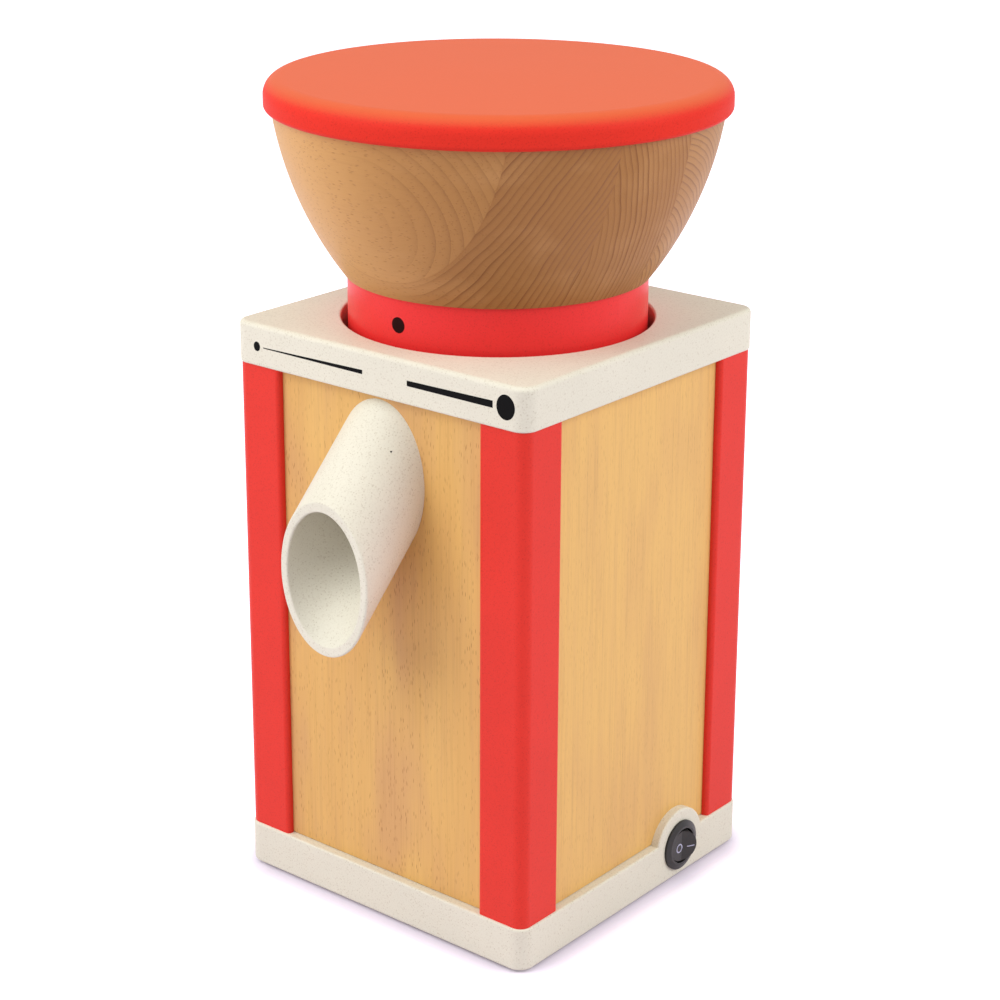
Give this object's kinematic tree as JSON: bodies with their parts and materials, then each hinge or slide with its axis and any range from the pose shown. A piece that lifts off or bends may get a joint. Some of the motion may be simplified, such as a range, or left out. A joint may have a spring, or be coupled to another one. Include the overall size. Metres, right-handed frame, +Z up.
{
  "type": "electric grain mill",
  "caption": "Square stone mill: post and panel case, turned wooden hopper with lid on a threaded adjusting collar, slanting flour spout in front and a round rocker switch.",
  "frame": {"origin": "middle of the square case, on the plane that the feet stand on", "axes": "+Z up along the common axis of hopper, stones and motor; -Y towards the spout; +X towards the switch face"},
  "size_m": [0.1964, 0.2097, 0.36],
  "materials": {
    "cream_composite": "satin, fine brown specks",
    "cream_spout": "smooth satin",
    "red_composite": "matte, fine dark specks",
    "beech_panel": "oiled, grain upright",
    "beech_bowl": "turned and oiled, laminated staves",
    "beech_dowel": "plain",
    "moulded_chamber": "moulded grey",
    "cast_aluminium": "cast, satin",
    "steel": "turned or plated",
    "core_steel": "laminated core",
    "copper": "enamelled copper wire",
    "black_plastic": "smooth black",
    "white_plastic": "plain",
    "millstone": "rough ceramic-bonded corundum",
    "brass": "plain",
    "felt": "pressed wool felt",
    "rubber": "plain"
  },
  "bodies": {
    "root": {"base": "cream_composite", "rubber_feet": "rubber", "base_screws": "steel", "front_left_post": "red_composite", "front_right_post": "red_composite", "back_left_post": "red_composite", "back_right_post": "red_composite", "front_panel": "beech_panel", "right_panel": "beech_panel", "back_panel": "beech_panel", "left_panel": "beech_panel", "top_plate": "cream_composite", "top_dowels": "beech_dowel", "milling_chamber": "moulded_chamber", "chamber_screws": "steel", "upper_motor_shield": "cast_aluminium", "lower_motor_shield": "cast_aluminium", "motor_stator": "core_steel", "stator_windings": "copper", "upper_bearing": "steel", "lower_bearing": "steel", "shaft_seal": "rubber", "motor_bolts": "steel", "motor_screws": "steel", "spout": "cream_spout", "spout_screws": "steel", "run_capacitor": "white_plastic", "capacitor_clip": "steel", "terminal_block": "white_plastic", "cable_gland": "black_plastic", "switch_bezel": "black_plastic", "switch_tabs": "brass"},
    "seal": {"thread_seal": "felt"},
    "hopper": {"stone_carrier": "moulded_chamber", "carrier_screws": "steel", "upper_stone": "millstone", "adjusting_collar": "red_composite", "index_pin": "black_plastic", "hopper_bowl": "beech_bowl", "bowl_screws": "steel", "feed_tube": "steel"},
    "lid": {"lid": "red_composite"},
    "runner": {"motor_shaft": "steel", "motor_rotor": "core_steel", "cooling_fan": "black_plastic", "flour_sweeper": "cast_aluminium", "runner_stone": "millstone", "stone_nut": "steel"},
    "rocker": {"switch_rocker": "black_plastic"}
  },
  "joints": [
    {"name": "hopper_rise", "type": "slide", "parent": "root", "child": "seal", "axis": [0, 0, 1], "range_m": [-0.0007, 0.0121]},
    {"name": "hopper_turn", "type": "hinge", "parent": "seal", "child": "hopper", "pos_m": [0, 0, 0.2378], "axis": [0, 0, 1], "range_deg": [-40, 720]},
    {"name": "lid_lift", "type": "slide", "parent": "hopper", "child": "lid", "axis": [0, 0, 1], "range_m": [0, 0.06]},
    {"name": "runner_spin", "type": "hinge", "parent": "root", "child": "runner", "pos_m": [0, 0, 0.2016], "axis": [0, 0, 1], "continuous": true},
    {"name": "switch_rock", "type": "hinge", "parent": "root", "child": "rocker", "pos_m": [0.07927, 0.0326, 0.016], "axis": [0, 0, 1], "range_deg": [0, 28]}
  ],
  "couplings": [
    {"joint": "hopper_rise", "follows": "hopper_turn", "m_per_rad": 0.00095493}
  ]
}
